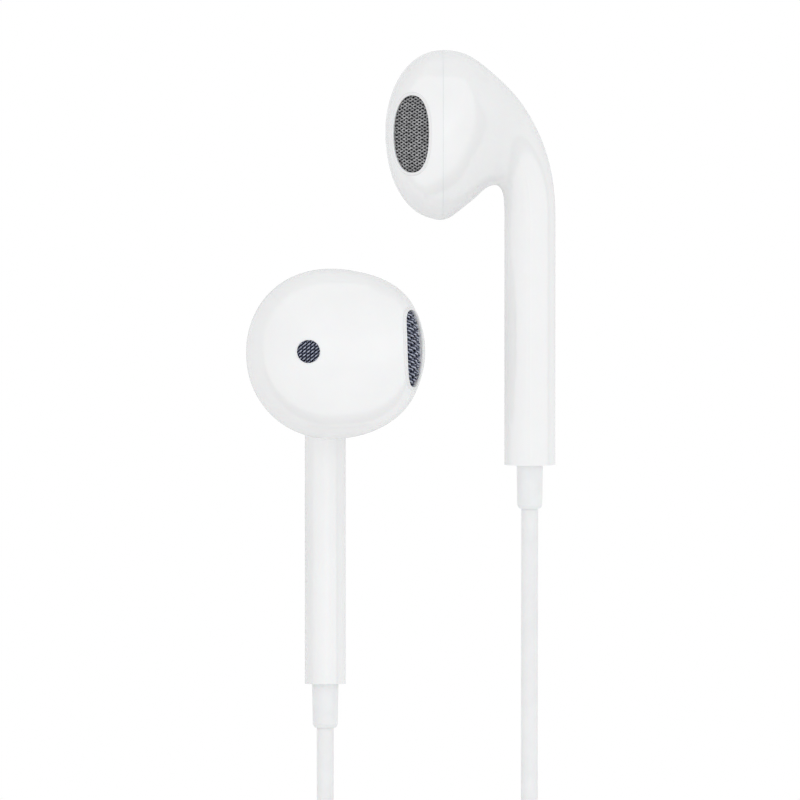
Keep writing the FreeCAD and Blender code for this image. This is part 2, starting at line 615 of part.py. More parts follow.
for name, y in BUTTONS:
    shift = remote_place * Placement(Vector(0, evaluate(y) if y != "0" else 0, 0), Rotation())
    layers("button_" + name, [
        ("Sheet.switch_high + 0.02", "Sheet.button_low", [
            CENTRE + ("Sheet.post_rad", "Sheet.post_rad * 0.5")]),
        ("Sheet.button_low", "Sheet.button_stop", [CENTRE + ("Sheet.button_flange", "Sheet.button_half")]),
        ("Sheet.button_stop", "Sheet.button_high", [
            CENTRE + ("Sheet.button_rad - Sheet.button_gap", "Sheet.button_half")])], shift)
    turned("switch_" + name, [
        ("0", "Sheet.board_high"), ("Sheet.switch_rad + 0.3", "Sheet.board_high"),
        ("Sheet.switch_rad + 0.3", "Sheet.board_high + 0.3"), ("Sheet.switch_rad", "Sheet.board_high + 0.3"),
        ("Sheet.switch_rad * 0.6", "Sheet.switch_high - 0.3"), ("0", "Sheet.switch_high - 0.3")], shift)
mic_place = remote_place * Placement(Vector(0, size("mic_place"), 0), Rotation())
ring("microphone", "Sheet.mic_rad", "0", "Sheet.board_high", "Sheet.remote_roof - 0.4", mic_place)

# ---- splitter and slider ------------------------------------------------------------------------

splitter_place = Placement(Vector(size("splitter_x"), size("splitter_y"), 0), Rotation())
reach = "Sheet.splitter_half + Sheet.splitter_rad"
branch_bores = []
for sign in ("-", ""):
    branch_bores.append(("Sheet.splitter_x + (%sSheet.branch_gap)" % sign, "Sheet.splitter_y + 1.5", reach,
                         "Sheet.cord_rise", "Sheet.bush_bore"))
main_bore = (
    "Sheet.splitter_x", "Sheet.splitter_y - (%s) - 1" % reach, reach, "Sheet.cord_rise", "Sheet.cord_bore")
body = CENTRE + ("Sheet.splitter_rad", "Sheet.splitter_half")
blank = layers(
    "splitter_blank", [("Sheet.splitter_low", "Sheet.splitter_high", [body])], splitter_place, False)
drilled("splitter", blank, branch_bores + [main_bore])
slider_place = Placement(Vector(size("splitter_x"), size("slider_y"), 0), Rotation())
blank = layers("slider_blank", [("Sheet.slider_low", "Sheet.slider_high", [
    CENTRE + ("Sheet.slider_rad", "Sheet.slider_half")])], slider_place, False)
drilled("slider", blank, [("Sheet.splitter_x + (%sSheet.branch_gap)" % sign, "Sheet.slider_y - 6", "12",
                           "Sheet.cord_rise", "Sheet.slider_bore") for sign in ("-", "")])
inside = size("hank_half") + size("hank_in") + 2.5
for name, sign in (("left", -1), ("right", 1)):
    x = size("splitter_x") + sign * size("branch_gap")
    cord("cord_%s_tail" % name, [(x, size("splitter_y") + 1.5, size("cord_rise")),
                                 (x, size("hank_y") + inside, size("cord_rise"))], size("branch_rad"))
far = size("splitter_y") - evaluate(reach) - 1 + evaluate(reach)
cord("cord_main_head", [(size("splitter_x"), far, size("cord_rise")),
                        (size("splitter_x"), size("hank_y") - inside, size("cord_rise"))], size("main_rad"))

# ---- plug ---------------------------------------------------------------------------------------

plug_place = Placement(Vector(size("plug_x"), size("plug_y"), size("plug_z")), ALONG_Y)
turned("plug_relief", [
    ("Sheet.cord_bore", "0"), ("Sheet.tail_thin", "0"), ("Sheet.tail_thin + 0.2", "0.4"),
    ("Sheet.tail_thick", "Sheet.tail_long"), ("Sheet.cord_bore", "Sheet.tail_long")], plug_place)
turned("plug_grip", [
    ("Sheet.cord_bore", "Sheet.tail_long"), ("Sheet.tail_thick", "Sheet.tail_long"),
    ("Sheet.grip_rad", "Sheet.tail_long + 1"), ("Sheet.grip_rad", "Sheet.grip_end - 0.8"),
    ("Sheet.grip_rad - 0.6", "Sheet.grip_end"), ("Sheet.rod_rad", "Sheet.grip_end"),
    ("Sheet.rod_rad", "Sheet.cord_deep"), ("Sheet.cord_bore", "Sheet.cord_deep")], plug_place)
core = "Sheet.core_rad"
edge = "Sheet.contact_rad"
insulator = [("Sheet.rod_rad", "Sheet.grip_end"), (core, "Sheet.grip_end")]
level = "Sheet.grip_end"
CONTACTS = (("plug_sleeve", "sleeve_long"), ("plug_ring_low", "ring_long"), ("plug_ring_high", "ring_long"))
for label, long in CONTACTS:
    following = level + " + Sheet." + long
    ring(label, edge, core, level, following, plug_place)
    level = following + " + Sheet.gap_long"
    insulator += [(core, following), (edge, following), (edge, level), (core, level)]
insulator[-1] = ("Sheet.rod_rad", level)
turned("plug_insulator", insulator, plug_place)
turned("plug_tip", [
    ("0", "Sheet.cord_deep"), ("Sheet.rod_rad", "Sheet.cord_deep"), ("Sheet.rod_rad", level),
    (edge, level), (edge, level + " + 0.5"), ("Sheet.tip_neck", level + " + 1.2"),
    (edge, level + " + 2.0"), ("Sheet.contact_rad * 0.6", level + " + Sheet.tip_long - 0.5"),
    ("Sheet.contact_rad * 0.2", level + " + Sheet.tip_long"), ("0", level + " + Sheet.tip_long")], plug_place)
px, py, pz = size("plug_x"), size("plug_y"), size("plug_z")
cord("cord_main_tail", [
    (px, py + size("cord_deep"), pz), (px, py - 5, pz), (px + 1.7, py - 13, pz), (px + 7.5, py - 19, pz + 0.3)
], size("main_rad"))

# ---- checks and files ---------------------------------------------------------------------------

doc.recompute()
os.makedirs("parts", exist_ok=True)
for piece in parts:
    if "Invalid" in piece.State or "Error" in piece.State:
        raise RuntimeError("%s is %s" % (piece.Label, piece.State))
    if piece.Shape.isNull() or not piece.Shape.isValid() or len(piece.Shape.Solids) != 1:
        raise RuntimeError("%s has %d solids" % (piece.Label, len(piece.Shape.Solids)))
for piece in parts:
    piece.Shape.exportStep("parts/%s.step" % piece.Label)
print("%d sub-parts" % len(parts))
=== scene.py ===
"""Looks for a pair of wired earphones: gloss white buds, woven grilles, and soft cords in a tied hank."""
import json
import math

import bpy
from mathutils import Matrix, Vector
from mathutils.bvhtree import BVHTree

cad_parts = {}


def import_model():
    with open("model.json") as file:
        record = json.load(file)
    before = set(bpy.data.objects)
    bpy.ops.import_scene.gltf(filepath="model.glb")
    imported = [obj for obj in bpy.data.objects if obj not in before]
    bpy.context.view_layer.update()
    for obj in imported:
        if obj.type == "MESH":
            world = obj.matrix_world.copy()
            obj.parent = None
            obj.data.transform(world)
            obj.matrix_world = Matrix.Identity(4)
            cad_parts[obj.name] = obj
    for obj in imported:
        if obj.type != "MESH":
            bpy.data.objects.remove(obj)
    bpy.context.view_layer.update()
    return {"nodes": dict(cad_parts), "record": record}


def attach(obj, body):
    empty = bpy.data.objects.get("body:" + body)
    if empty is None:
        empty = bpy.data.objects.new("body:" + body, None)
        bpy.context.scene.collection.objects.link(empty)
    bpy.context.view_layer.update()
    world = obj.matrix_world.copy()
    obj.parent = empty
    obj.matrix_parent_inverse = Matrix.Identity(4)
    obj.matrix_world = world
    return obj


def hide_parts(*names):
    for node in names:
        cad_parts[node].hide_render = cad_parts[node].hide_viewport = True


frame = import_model()

# The object's places and sizes are in millimetres, as in part.py, and MM turns them into metres.
MM = 0.001
ROOT = "cord_set"

# The earbuds' own frames: x towards the nozzle, y up the stem, z out of the face.
BUDS = {
    "left": Matrix.Translation(Vector((-7.5, -29.54, 2.554)) * MM),
    "right": Matrix.Translation(Vector((13.0, -7.52, 5.5508)) * MM)
    @ Matrix.Rotation(math.radians(4), 4, "X") @ Matrix.Rotation(math.radians(-90), 4, "Y"),
}
UP = Vector((0, 1, 0))
FACE = Vector((0, 0, 1))

# The nozzle's mouth points out to the side and a little towards the face.
LEAN = math.radians(18)
OUT = Vector((math.cos(LEAN), 0, math.sin(LEAN)))
ACROSS = Vector((-math.sin(LEAN), 0, math.cos(LEAN)))
NOZZLE = Vector((9.2, 33.6, 11.95))
NOZZLE_HALF = (1.92, 3.85)
NOZZLE_POWER = 2.3

VENT = Vector((-1.6, 33.3, 14.42))
VENT_RADIUS = 1.15

# The seam between the shells: its height in the bud's frame, the radius of its grey line of painted shade
# that stands for the groove, and the head's outline there as half sizes, superellipse powers and how far
# it rises towards the nozzle.
SEAM = 8.7
SEAM_RADIUS = 0.011
HEAD_MIDDLE = (0.6, 33.08)
HEAD_LEFT, HEAD_RIGHT, HEAD_HALF = 8.45, 9.4, 8.48
HEAD_POWERS = (2.12, 2.03)
HEAD_NOZZLE_POWER = 2.08
HEAD_RISE = 0.3


# ---- materials ----------------------------------------------------------------------------------


def shader(name, dark, light, rough, scale, bump=0.0, metallic=0.0, coat=0.0, skin=0.0, sheen=0.0,
           spread=0.04):
    """A procedural finish: two tones mixed by fine noise, uneven roughness, and a bump in metres."""
    material = bpy.data.materials.new(name)
    material.use_nodes = True
    tree = material.node_tree
    link = tree.links.new
    surface = tree.nodes["Principled BSDF"]
    place = tree.nodes.new("ShaderNodeTexCoord")
    tone = tree.nodes.new("ShaderNodeTexNoise")
    tone.inputs["Scale"].default_value = scale
    tone.inputs["Detail"].default_value = 5
    link(place.outputs["Object"], tone.inputs["Vector"])
    ramp = tree.nodes.new("ShaderNodeValToRGB")
    ramp.color_ramp.elements[0].position = 0.3
    ramp.color_ramp.elements[1].position = 0.7
    ramp.color_ramp.elements[0].color = (*dark, 1)
    ramp.color_ramp.elements[1].color = (*light, 1)
    link(tone.outputs["Fac"], ramp.inputs["Fac"])
    link(ramp.outputs["Color"], surface.inputs["Base Color"])
    grain = tree.nodes.new("ShaderNodeTexNoise")
    grain.inputs["Scale"].default_value = scale * 4
    grain.inputs["Detail"].default_value = 3
    link(place.outputs["Object"], grain.inputs["Vector"])
    uneven = tree.nodes.new("ShaderNodeMapRange")
    uneven.inputs["To Min"].default_value = max(rough - spread, 0.02)
    uneven.inputs["To Max"].default_value = rough + spread
    link(grain.outputs["Fac"], uneven.inputs["Value"])
    link(uneven.outputs["Result"], surface.inputs["Roughness"])
    surface.inputs["Metallic"].default_value = metallic
    surface.inputs["Coat Weight"].default_value = coat
    surface.inputs["Coat Roughness"].default_value = 0.08
    surface.inputs["Subsurface Weight"].default_value = skin
    surface.inputs["Subsurface Scale"].default_value = 0.0006
    surface.inputs["Sheen Weight"].default_value = sheen
    if bump:
        relief = tree.nodes.new("ShaderNodeBump")
        relief.name = "relief"
        relief.inputs["Strength"].default_value = 0.5
        relief.inputs["Distance"].default_value = bump
        link(grain.outputs["Fac"], relief.inputs["Height"])
        link(relief.outputs["Normal"], surface.inputs["Normal"])
    return material


def banded(material, scale, bump, direction="Y", kind="BANDS"):
    """Adds regular ridges, such as windings, a weave or knurling, to a finish."""
    tree = material.node_tree
    wave = tree.nodes.new("ShaderNodeTexWave")
    wave.wave_type = kind
    wave.bands_direction = direction
    wave.inputs["Scale"].default_value = scale
    wave.inputs["Distortion"].default_value = 0.4
    place = next(n for n in tree.nodes if n.bl_idname == "ShaderNodeTexCoord")
    tree.links.new(place.outputs["Object"], wave.inputs["Vector"])
    relief = tree.nodes.new("ShaderNodeBump")
    relief.inputs["Strength"].default_value = 0.8
    relief.inputs["Distance"].default_value = bump
    tree.links.new(wave.outputs["Fac"], relief.inputs["Height"])
    before = tree.nodes.get("relief")
    if before:
        tree.links.new(before.outputs["Normal"], relief.inputs["Normal"])
    tree.links.new(relief.outputs["Normal"], tree.nodes["Principled BSDF"].inputs["Normal"])
    return material


FINISHES = {
    "shell_white": shader("gloss_white", (0.90, 0.90, 0.90), (0.92, 0.92, 0.92), 0.1, 260, 2e-6, coat=0.7,
                          skin=0.06, spread=0.03),
    "button_white": shader("satin_white", (0.80, 0.81, 0.82), (0.84, 0.845, 0.85), 0.34, 900, 8e-6,
                           skin=0.05),
    "soft_white": shader("elastomer_white", (0.86, 0.865, 0.87), (0.90, 0.905, 0.91), 0.42, 700, 9e-6,
                         skin=0.08, sheen=0.1),
    "cord_white": shader("jacket_white", (0.85, 0.855, 0.86), (0.89, 0.895, 0.90), 0.45, 500, 1.2e-5,
                         skin=0.08, sheen=0.12),
    "mesh_grey": shader("wire_grey", (0.20, 0.20, 0.205), (0.36, 0.36, 0.365), 0.36, 1500, 6e-6,
                        metallic=0.6),
    "inner_black": shader("moulding_black", (0.018, 0.018, 0.02), (0.035, 0.035, 0.04), 0.5, 900, 8e-6),
    "plated_steel": shader("nickel", (0.58, 0.57, 0.55), (0.70, 0.69, 0.67), 0.24, 700, 4e-6,
                           metallic=1.0),
    "copper_wire": banded(
        shader("winding", (0.55, 0.22, 0.10), (0.72, 0.33, 0.16), 0.3, 900, 4e-6, metallic=0.9),
        5200, 4e-5, "Z"),
    "film_clear": banded(
        shader("film", (0.46, 0.50, 0.54), (0.58, 0.62, 0.66), 0.22, 600, 4e-6),
        900, 3e-5, "DIAGONAL"),
    "brass_crimp": shader("brass", (0.58, 0.42, 0.16), (0.72, 0.56, 0.26), 0.3, 800, 6e-6, metallic=1.0),
    "tie_grey": banded(
        shader("strap", (0.30, 0.31, 0.33), (0.42, 0.43, 0.45), 0.75, 1600, 4e-5, sheen=0.5),
        900, 8e-5),
    "board_green": banded(
        shader("board", (0.015, 0.09, 0.04), (0.03, 0.15, 0.07), 0.35, 700, 6e-6),
        500, 2e-5, "X"),
    "gold_contact": shader("gold", (0.76, 0.55, 0.22), (0.90, 0.70, 0.34), 0.16, 900, 3e-6, metallic=1.0),
}
# A pale and a navy copy of one wire: the pale one is painted highlight, the navy one is painted shade.
WIRE_PAINTED_LIT = shader("wire_painted_lit", (0.36, 0.39, 0.48), (0.52, 0.55, 0.66), 0.34, 1500, 6e-6, metallic=0.3)
WIRE_PAINTED_SHADED = shader("wire_painted_shaded", (0.012, 0.016, 0.045), (0.03, 0.04, 0.09), 0.4, 1500, 6e-6, metallic=0.2)
WIRE_SILVER = shader("wire_silver", (0.26, 0.26, 0.265), (0.44, 0.44, 0.445), 0.36, 1500, 6e-6,
                     metallic=0.6)
SCRIM = shader("scrim_black", (0.004, 0.004, 0.006), (0.014, 0.014, 0.02), 0.8, 2500, 2e-5)
LIP_WHITE = shader("lip_white", (0.84, 0.83, 0.83), (0.88, 0.87, 0.87), 0.16, 260, 2e-6, coat=0.3,
                   skin=0.06)
# A grey of painted shade for the thin line that stands in for the shadow in the seam's groove.
PAINTED_SEAM_SHADE = shader("painted_seam_shade", (0.56, 0.57, 0.58), (0.64, 0.65, 0.66), 0.4, 900, 4e-6)

for entry in frame["record"]["subparts"]:
    node = frame["nodes"][entry["node"]]
    for number in range(max(1, len(node.material_slots))):
        if not node.material_slots:
            node.data.materials.append(None)
        node.material_slots[number].material = FINISHES[entry["material_slot"]]


# ---- mesh helpers -------------------------------------------------------------------------------


def add_mesh(name, points, faces, material, slot, body=ROOT):
    data = bpy.data.meshes.new(name)
    data.from_pydata([tuple(p) for p in points], [], faces)
    data.update()
    data.polygons.foreach_set("use_smooth", [True] * len(data.polygons))
    piece = bpy.data.objects.new(name, data)
    bpy.context.scene.collection.objects.link(piece)
    data.materials.append(material)
    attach(piece, body)
    return piece


def tube_mesh(lines, radius, sides=6):
    """Vertices and faces of round tubes that follow lines of points, given as (points, closed) pairs."""
    points, faces = [], []
    for line, closed in lines:
        base, count = len(points), len(line)
        for i, here in enumerate(line):
            before = line[i - 1] if i or closed else here
            after = line[(i + 1) % count] if i < count - 1 or closed else here
            along = (after - before).normalized()
            # The first ring's side is any; each later one turns as little as it can from the ring before.
            side = along.orthogonal() if i == 0 else side - along * side.dot(along)
            side = side.normalized()
            other = along.cross(side)
            for j in range(sides):
                angle = 2 * math.pi * j / sides
                points.append(here + (side * math.cos(angle) + other * math.sin(angle)) * radius)
        for i in range(count if closed else count - 1):
            a, b = base + i * sides, base + (i + 1) % count * sides
            for j in range(sides):
                k = (j + 1) % sides
                faces.append((a + j, a + k, b + k, b + j))
        if not closed:
            faces.append(tuple(base + j for j in reversed(range(sides))))
            faces.append(tuple(base + (count - 1) * sides + j for j in range(sides)))
    return points, faces


def superellipse(angle, wide, tall, power):
    """The point at an angle on an outline between an ellipse (power 2) and a rectangle."""
    c, s = math.cos(angle), math.sin(angle)
    return (
        math.copysign(abs(c) ** (2 / power), c) * wide,
        math.copysign(abs(s) ** (2 / power), s) * tall,
    )


def ring_of(count):
    """Angles once round a circle."""
    return [2 * math.pi * i / count for i in range(count)]


def egg(count):
    """Points round the head's outline, blunter and a little higher on the nozzle's side."""
    points = []
    for angle in ring_of(count):
        nozzle_side = math.cos(angle) > 0
        round_side = HEAD_POWERS[0] if math.sin(angle) > 0 else HEAD_POWERS[1]
        wide = HEAD_RIGHT if nozzle_side else HEAD_LEFT
        x, y = superellipse(angle, wide, HEAD_HALF, HEAD_NOZZLE_POWER if nozzle_side else round_side)
        rise = HEAD_RISE * (x / HEAD_RIGHT) ** 2 if x > 0 else 0
        points.append((HEAD_MIDDLE[0] + x, HEAD_MIDDLE[1] + (y + rise)))
    return points


def skin_of(node):
    """A tree of a CAD piece's faces, to cast rays at."""
    data = frame["nodes"][node].data
    return BVHTree.FromPolygons([v.co for v in data.vertices], [tuple(p.vertices) for p in data.polygons])


# ---- grilles, vents, lips and seams of the buds -------------------------------------------------

# How far a wire swings up and down through the weave and how deep the scrim lies, in wire thicknesses,
# and how far the scrim reaches past the wires in mm.
SWING = 0.55
SCRIM_DEPTH = 1.6
SCRIM_MARGIN = 0.1

# Each weave: the distance between wires, their thickness, their angle to the opening's short axis in
# radians, and the materials of the two crossing families. In the left nozzle's and the vent's weaves one
# family is pale, a painted highlight, and the crossing family is navy, painted shade; the right nozzle's
# two families are plain silver.
NOZZLE_WEAVES = {
    "left": (0.36, 0.17, 0.27, (WIRE_PAINTED_LIT, WIRE_PAINTED_SHADED)),
    "right": (0.29, 0.135, 0.56, (WIRE_SILVER, WIRE_SILVER)),
}
VENT_WEAVE = (0.27, 0.13, 0.7, (WIRE_PAINTED_LIT, WIRE_PAINTED_SHADED))

# The screens' half sizes and how far they lie inside the openings.
NOZZLE_SCREEN_HALF = (1.96, 3.9)
NOZZLE_SCREEN_SINK = 0.42
VENT_SCREEN_HALF = (1.25, 1.25)
VENT_SCREEN_SINK = 0.38

# A lip's distance outside its opening, its depth in the shell and its radius.
NOZZLE_LIP = (0.14, 0.1, 0.17)
VENT_LIP = (0.06, 0.045, 0.07)


def weave(half, power, pitch, wire, slope, crown):
    """Two crossing families of over-and-under wires inside a superellipse, as lines of (u, v, lift)."""
    half_wide, half_tall = half
    reach = half_wide + half_tall
    rows = int(reach / pitch)
    steps = int(4 * reach / pitch)
    families = []
    for family, turn in ((0, slope), (1, math.pi - slope)):
        lines = []
        along = Vector((math.cos(turn), math.sin(turn)))
        across = Vector((-along.y, along.x))
        for row in range(-rows, rows + 1):
            run = []
            for step in range(-steps, steps + 1):
                distance = step * pitch / 4 / math.sin(2 * slope)
                u, v = along * distance + across * (row * pitch)
                if abs(u / half_wide) ** power + abs(v / half_tall) ** power > 1:
                    continue
                swing = math.cos(math.pi * (step / 4 + row + family))
                run.append((u, v, crown(u, v) + swing * wire * SWING))
            if len(run) > 2:
                lines.append(run)
        families.append(lines)
    return families


def patch(half, power, crown, lift):
    """A crowned oval sheet as (u, v, lift) points and its faces."""
    rings, count = 6, 40
    points, faces = [(0, 0, crown(0, 0) + lift)], []
    for ring in range(1, rings + 1):
        share = ring / rings
        for angle in ring_of(count):
            u, v = superellipse(angle, half[0], half[1], power)
            u, v = u * share, v * share
            points.append((u, v, crown(u, v) + lift))
    for i in range(count):
        faces.append((0, 1 + i, 1 + (i + 1) % count))
    for ring in range(rings - 1):
        for i in range(count):
            a, b = 1 + ring * count, 1 + (ring + 1) * count
            faces.append((a + i, b + i, b + (i + 1) % count, a + (i + 1) % count))
    return points, faces


def screen(side, label, node, middle, axes, half, power, crown, pattern):
    """A woven screen with a black scrim behind it, in place of a plain CAD disc."""
    right, up, out = axes
    pitch, wire, slope, wire_finishes_and_painted_light = pattern

    def world(point):
        return BUDS[side] @ ((middle + right * point[0] + up * point[1] + out * point[2]) * MM)

    families = weave(half, power, pitch, wire, slope, crown)
    # On the left nozzle and the vent, the first family is painted lit and the crossing one is painted
    # shaded.
    for name, lines, finish in zip((label, label + "_cross"), families, wire_finishes_and_painted_light):
        lines = [([world(p) for p in line], False) for line in lines]
        piece = add_mesh("%s_%s" % (name, side), *tube_mesh(lines, wire / 2 * MM), finish, "mesh_grey")
        if name == label:
            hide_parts("%s_%s" % (node, side))
    margin = (half[0] + SCRIM_MARGIN, half[1] + SCRIM_MARGIN)
    points, faces = patch(margin, power, crown, -wire * SCRIM_DEPTH)
    add_mesh("%s_scrim_%s" % (label, side), [world(p) for p in points], faces, SCRIM, "inner_black")


def lip(side, label, points, out, sink, radius):
    """A rounded lip that follows the shell's surface round an opening."""
    # A ray starts this many mm over the opening and is this many metres long.
    start_height, ray_length = 4, 0.02
    shell = skin_of("front_shell_" + side)
    bud = BUDS[side]
    out_there = bud.to_3x3() @ out
    line = []
    for point in points:
        start = bud @ ((point + out * start_height) * MM)
        hit = shell.ray_cast(start, -out_there, ray_length)[0]
        line.append((hit if hit is not None else bud @ (point * MM)) - out_there * sink * MM)
    tube = tube_mesh([(line, True)], radius * MM, 10)
    add_mesh("%s_%s" % (label, side), *tube, LIP_WHITE, "shell_white")


def nozzle_bow(u, v):
    """How the nozzle's screen bows with the shell round it, u across the mouth and v up it."""
    return 0.099 - 0.0199 * v ** 2 - 0.00114 * v ** 4 - 0.03 * v - 0.0738 * u * u - 0.0789 * u


def vent_bow(u, v):
    """How the vent's screen crowns, 0.03 mm at its middle."""
    return 0.03 * (1 - (u * u + v * v) / 1.6)


for side, bud in BUDS.items():
    screen(side, "grille_weave", "nozzle_grille", NOZZLE - OUT * NOZZLE_SCREEN_SINK, (ACROSS, UP, OUT),
           NOZZLE_SCREEN_HALF, NOZZLE_POWER, nozzle_bow, NOZZLE_WEAVES[side])
    screen(side, "vent_weave", "vent_mesh", VENT - FACE * VENT_SCREEN_SINK, (Vector((1, 0, 0)), UP, FACE),
           VENT_SCREEN_HALF, 2.0, vent_bow, VENT_WEAVE)
    outside, sink, radius = NOZZLE_LIP
    wide, tall = NOZZLE_HALF[0] + outside, NOZZLE_HALF[1] + outside
    oval = [superellipse(angle, wide, tall, NOZZLE_POWER) for angle in ring_of(96)]
    lip(side, "nozzle_lip", [NOZZLE + ACROSS * u + UP * v for u, v in oval], OUT, sink, radius)
    outside, sink, radius = VENT_LIP
    spokes = [Vector((math.cos(angle), math.sin(angle), 0)) for angle in ring_of(48)]
    lip(side, "vent_lip", [VENT + spoke * (VENT_RADIUS + outside) for spoke in spokes], FACE, sink, radius)
    # A thin grey tube round the seam: painted shade in place of the groove between the shells.
    seam = [bud @ (Vector((x, y, SEAM)) * MM) for x, y in egg(140)]
    add_mesh("seam_line_" + side, *tube_mesh([(seam, True)], SEAM_RADIUS * MM), PAINTED_SEAM_SHADE, "shell_white")


# ---- cords --------------------------------------------------------------------------------------

# The hank lies flat on the table: a loop of two half circles and two straight runs of this half length.
HANK = Vector((-4.5, -81.0))
HALF_RUN = 17.0
POINTS_PER_TURN = 16
# A round end's control points lie this many radii out, because the curve stays inside them.
END_PULL = 1.03


def turns(slots, direction, first, last):
    """Control points of stadium turns round the hank: slots are (radius, height) pairs in winding order,
    first and last are where on the loop they start and end, in turns from the middle of its right run."""
    points = []
    half_turn = POINTS_PER_TURN // 2
    for number in range(math.ceil(first * POINTS_PER_TURN), math.floor(last * POINTS_PER_TURN) + 1):
        place = number / POINTS_PER_TURN
        lap = int(place - first)
        # The last quarter of each lap moves over to the next slot.
        blend = min(max((place - first - lap - 0.75) * 4, 0), 1)
        here, following = slots[min(lap, len(slots) - 1)], slots[min(lap + 1, len(slots) - 1)]
        radius = here[0] + (following[0] - here[0]) * blend
        height = here[1] + (following[1] - here[1]) * blend
        index = number % POINTS_PER_TURN
        if index % half_turn == 0:
            x, y = (radius, 0) if index == 0 else (-radius, 0)
        else:
            # Seven points 30 degrees apart shape each round end.
            upper = index < half_turn
            angle = math.radians((index - 1) * 30 if upper else 180 + (index - half_turn - 1) * 30)
            x = math.cos(angle) * radius * END_PULL
            y = math.sin(angle) * radius * END_PULL + (HALF_RUN if upper else -HALF_RUN)
        points.append((HANK.x + x, HANK.y + direction * y, height))
    return points


def cord_curve(name, points, radius, *nodes):
    """An open curve along the points, in place of the CAD's straight and coiled cord pieces."""
    data = bpy.data.curves.new(name, "CURVE")
    data.dimensions = "3D"
    spline = data.splines.new("NURBS")
    spline.points.add(len(points) - 1)
    for target, point in zip(spline.points, points):
        target.co = (*(Vector(point) * MM), 1)
    spline.order_u = 3
    spline.use_endpoint_u = True
    spline.resolution_u = 8
    data.bevel_depth = radius * MM
    data.bevel_resolution = 5
    data.use_fill_caps = True
    piece = bpy.data.objects.new(name, data)
    bpy.context.scene.collection.objects.link(piece)
    data.materials.append(FINISHES["cord_white"])
    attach(piece, ROOT)
    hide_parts(*nodes)
    return piece


# Heights of a branch's axis where it lies on the table, and of the splitter's and slider's bores.
FLOOR = 0.87
BORE = 1.8
BRANCH_RADIUS = 0.85
MAIN_RADIUS = 1.1

# A branch's route runs from its bud's strain relief through the hank and the slider into the splitter.
left_route = (
    [(-7.5, -31.34, 2.554), (-7.5, -38.24, 2.554), (-7.5, -44.74, FLOOR), (-7.9, -50.74, FLOOR + 0.1),
     (-11.5, -56.5, 1.6), (-15.6, -64.0, 1.65), (-16.9, -73.0, 1.65)]
    + turns([(12.4, 1.65), (10.2, 1.65)], 1, 0.5, 2.19)
    + [(-4.4, -55.2, 2.4), (-5.8, -58.4, BORE), (-5.8, -60.4, BORE), (-5.8, -83.5, BORE)]
)
# The right branch runs straight through the remote before it turns back to the hank.
right_route = (
    [(13.0, -9.315, 5.425), (13.0, -14.403, 5.069), (13.0, -28.403, FLOOR), (13.0, -42.403, FLOOR + 0.1),
     (13.0, -55.403, FLOOR), (13.0, -69.0, 2.15), (13.0, -77.2, 2.25), (13.0, -102.8, 2.25),
     (13.0, -107.5, 2.25), (11.0, -114.0, 1.5), (3.0, -115.5, 1.8), (-5.0, -110.0, 3.4)]
    + turns([(12.4, 3.4), (10.2, 3.4)], -1, 0.3, 1.69)
    + [(-4.6, -55.2, 2.7), (-3.2, -58.4, BORE), (-3.2, -60.4, BORE), (-3.2, -83.5, BORE)]
)
# The main cord starts 0.9 mm short of the splitter's end, takes the hank's inner and upper slots and
# ends at the plug.
main_slots = [(8.0, 1.9), (8.0, 4.1), (8.0, 6.2), (8.0, 8.25), (10.2, 8.25), (12.4, 8.25), (12.4, 6.1)]
main_route = (
    [(-4.5, -92.6, BORE), (-4.5, -99.0, BORE), (-5.5, -103.0, 1.9)]
    + turns(main_slots, -1, 0.35, 6.3)
    + [(-15.1, -105.0, 3.45), (-20.9, -99.0, 3.15), (-22.6, -91.0, 3.15), (-22.6, -77.6, 3.15)]
)
left_cord = cord_curve("branch_left", left_route, BRANCH_RADIUS, "cord_left", "cord_left_tail")
right_cord = cord_curve("branch_right", right_route, BRANCH_RADIUS, "cord_right_upper",
                        "cord_right_lower", "cord_right_tail")
main_cord = cord_curve("main_cord", main_route, MAIN_RADIUS, "cord_hank", "cord_main_head",
                       "cord_main_tail")


# ---- studio -------------------------------------------------------------------------------------

# The floor's own light, its brighter light to the camera, and its least share of the floor's look, which
# is what a glossy ray gets.
FLOOR_LIGHT, FLOOR_LIGHT_SEEN = 0.95, 1.0
FLOOR_LIGHT_LEAST = 0.15

# The surroundings: one even tone that lights the set, and for reflections a ramp of greys from low to
# high along SKY_TILT, given as (position, red, green, blue).
SKY_STRENGTH = 0.97
SKY_EVEN = (0.965, 0.97, 0.975, 1)
SKY_TILT = (-0.1, 0.26, 1.0)
SKY_RAMP = (
    (0.40, 0.30, 0.305, 0.31),
    (0.56, 0.70, 0.70, 0.70 * 1.005),
    (0.585, 1.30, 1.30, 1.30 * 1.005),
    (0.62, 1.40, 1.41, 1.42),
)
scene = bpy.context.scene


def math_node(tree, operation, *inputs):
    """A math node's output; each input is a socket to link from or a plain number."""
    node = tree.nodes.new("ShaderNodeMath")
    node.operation = operation
    for socket, given in zip(node.inputs, inputs):
        if isinstance(given, bpy.types.NodeSocket):
            tree.links.new(given, socket)
        else:
            socket.default_value = given
    return node.outputs[0]


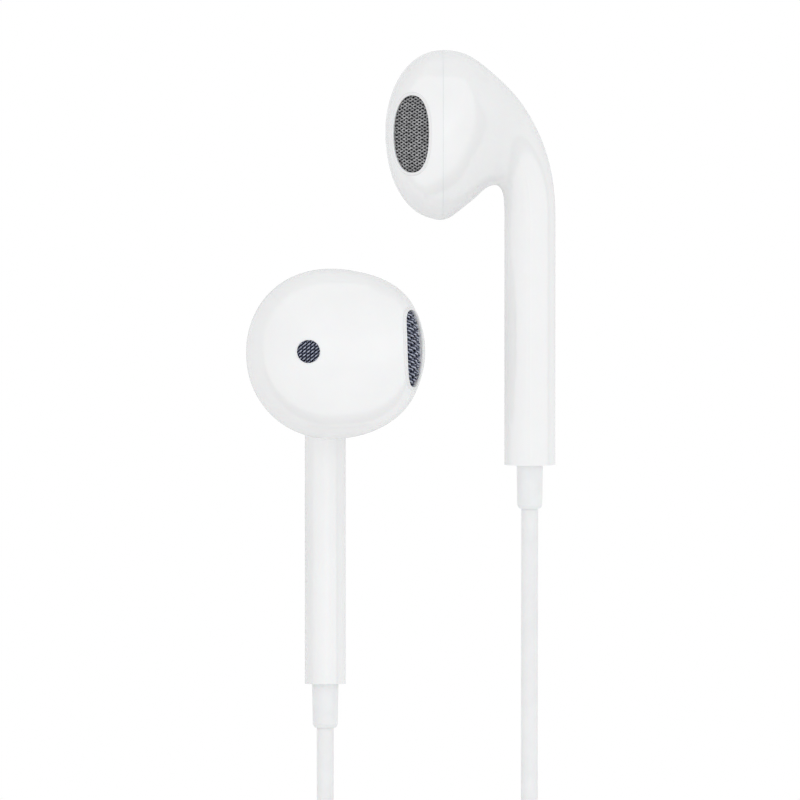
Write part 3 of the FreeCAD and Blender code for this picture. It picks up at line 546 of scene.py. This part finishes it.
def glowing_paper():
    """White paper with its own light, so that it is as even and bright as the photo's background."""
    paper = shader("paper_white", (0.87, 0.875, 0.88), (0.90, 0.905, 0.91), 0.9, 40)
    tree = paper.node_tree
    rays = tree.nodes.new("ShaderNodeLightPath").outputs
    glow = tree.nodes.new("ShaderNodeEmission")
    blend = tree.nodes.new("ShaderNodeMixShader")
    seen = rays["Is Camera Ray"]
    level = math_node(tree, "MULTIPLY_ADD", seen, FLOOR_LIGHT_SEEN - FLOOR_LIGHT, FLOOR_LIGHT)
    either = math_node(tree, "MAXIMUM", seen, rays["Is Diffuse Ray"])
    share = math_node(tree, "MAXIMUM", either, FLOOR_LIGHT_LEAST)
    tree.links.new(level, glow.inputs["Strength"])
    tree.links.new(share, blend.inputs["Fac"])
    tree.links.new(tree.nodes["Principled BSDF"].outputs["BSDF"], blend.inputs[1])
    tree.links.new(glow.outputs["Emission"], blend.inputs[2])
    tree.links.new(blend.outputs["Shader"], tree.nodes["Material Output"].inputs["Surface"])
    return paper


def white_room():
    """The surroundings: even to all rays but glossy ones, which see a dark lower and a light upper part."""
    world = bpy.data.worlds.new("studio")
    world.use_nodes = True
    tree = world.node_tree
    link = tree.links.new
    back = tree.nodes["Background"]
    place = tree.nodes.new("ShaderNodeTexCoord")
    height = tree.nodes.new("ShaderNodeVectorMath")
    height.operation = "DOT_PRODUCT"
    height.inputs[1].default_value = SKY_TILT
    link(place.outputs["Generated"], height.inputs[0])
    ramp = tree.nodes.new("ShaderNodeValToRGB")
    link(math_node(tree, "MULTIPLY_ADD", height.outputs["Value"], 0.5, 0.5), ramp.inputs["Fac"])
    stops = ramp.color_ramp.elements
    stops[0].position, stops[0].color = SKY_RAMP[0][0], (*SKY_RAMP[0][1:], 1)
    stops[1].position, stops[1].color = SKY_RAMP[-1][0], (*SKY_RAMP[-1][1:], 1)
    for position, *grey in SKY_RAMP[1:-1]:
        stops.new(position).color = (*grey, 1)
    rays = tree.nodes.new("ShaderNodeLightPath").outputs
    choice = tree.nodes.new("ShaderNodeMix")
    choice.data_type = "RGBA"
    choice.inputs["A"].default_value = SKY_EVEN
    link(rays["Is Glossy Ray"], choice.inputs["Factor"])
    link(ramp.outputs["Color"], choice.inputs["B"])
    link(choice.outputs["Result"], back.inputs["Color"])
    back.inputs["Strength"].default_value = SKY_STRENGTH
    return world


def softbox(name, location, size, power):
    """A rectangular area light that faces the middle of the scene."""
    data = bpy.data.lights.new(name, "AREA")
    data.shape = "RECTANGLE"
    data.size, data.size_y = size
    data.energy = power
    lamp = bpy.data.objects.new(name, data)
    lamp.location = location
    lamp.rotation_euler = (-Vector(location)).to_track_quat("-Z", "Y").to_euler()
    scene.collection.objects.link(lamp)


bpy.ops.mesh.primitive_plane_add(size=4, location=(0, 0, 0))
floor = bpy.context.object
floor.name = "floor"
floor.data.materials.append(glowing_paper())
scene.world = white_room()
softbox("strip", (0.8, 0.3, 1.7), (0.7, 2.2), 1.1)

# The camera stands over the buds and, with no rotation, looks straight down.
camera_data = bpy.data.cameras.new("camera")
camera_data.lens = 675
camera_data.sensor_width = 36
camera_data.clip_start, camera_data.clip_end = 0.05, 20
camera_data.dof.use_dof = False
camera = bpy.data.objects.new("camera", camera_data)
camera.location = (0, -0.00106, 1.508)
scene.collection.objects.link(camera)
scene.camera = camera
scene.view_settings.view_transform = "Standard"
